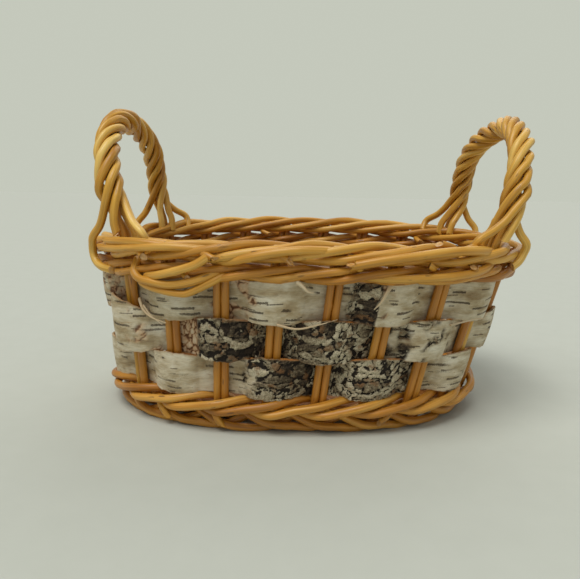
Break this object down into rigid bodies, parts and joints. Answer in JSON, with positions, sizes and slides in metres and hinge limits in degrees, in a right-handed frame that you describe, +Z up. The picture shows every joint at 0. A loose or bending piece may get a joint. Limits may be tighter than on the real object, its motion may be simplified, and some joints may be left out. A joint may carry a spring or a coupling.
{
  "type": "wicker basket",
  "caption": "Oval willow basket with flaring walls woven from birch bark strips, a roped rim and two roped end handles.",
  "frame": {"origin": "on the ground, under the middle of the rim's length and width", "axes": "+X along the basket's length towards its right handle, +Y towards its back, +Z up"},
  "size_m": [0.2538, 0.1733, 0.1712],
  "materials": {
    "willow_stake": "peeled willow rod, smooth, satin, golden brown",
    "willow_wale": "peeled willow rod, smooth, satin, honey gold with fine dark specks",
    "willow_border": "peeled willow rod, smooth, satin, pale honey gold",
    "willow_handle": "peeled willow rod, smooth, satin, honey gold",
    "birch_bark": "natural birch bark, matte, pale grey-white with dark lenticels and rough fissured patches",
    "willow_base": "woven willow, satin, golden brown"
  },
  "bodies": {
    "root": {"cross_stake_01_left": "willow_stake", "cross_stake_01_right": "willow_stake", "cross_stake_02_right": "willow_stake", "cross_stake_03_left": "willow_stake", "cross_stake_03_right": "willow_stake", "cross_stake_04_left": "willow_stake", "cross_stake_04_right": "willow_stake", "cross_stake_05_left": "willow_stake", "cross_stake_05_right": "willow_stake", "cross_stake_06_left": "willow_stake", "cross_stake_06_right": "willow_stake", "cross_stake_07_left": "willow_stake", "cross_stake_07_right": "willow_stake", "cross_stake_08_left": "willow_stake", "cross_stake_08_right": "willow_stake", "cross_stake_09_left": "willow_stake", "cross_stake_10_left": "willow_stake", "cross_stake_10_right": "willow_stake", "long_stake_back": "willow_stake", "long_stake_front": "willow_stake", "foot_wale_rod_1": "willow_wale", "foot_wale_rod_2": "willow_wale", "foot_wale_rod_3": "willow_wale", "upsett_wale_rod_1": "willow_wale", "upsett_wale_rod_2": "willow_wale", "upsett_wale_rod_3": "willow_wale", "rim_wale_rod_1": "willow_wale", "rim_wale_rod_2": "willow_wale", "rim_wale_rod_3": "willow_wale", "border_rod_1": "willow_border", "border_rod_2": "willow_border", "border_rod_3": "willow_border", "border_rod_4": "willow_border", "bark_strip_bottom_1": "birch_bark", "bark_strip_bottom_2": "birch_bark", "bark_strip_middle_1": "birch_bark", "bark_strip_middle_2": "birch_bark", "bark_strip_top_1": "birch_bark", "bark_strip_top_2": "birch_bark", "base_weave": "willow_base", "left_handle_bow": "willow_handle", "left_handle_wrap_1": "willow_handle", "left_handle_wrap_2": "willow_handle", "left_handle_wrap_3": "willow_handle", "left_handle_wrap_4": "willow_handle", "left_handle_wrap_5": "willow_handle", "right_handle_bow": "willow_handle", "right_handle_wrap_1": "willow_handle", "right_handle_wrap_2": "willow_handle", "right_handle_wrap_3": "willow_handle", "right_handle_wrap_4": "willow_handle", "right_handle_wrap_5": "willow_handle"}
  },
  "joints": []
}
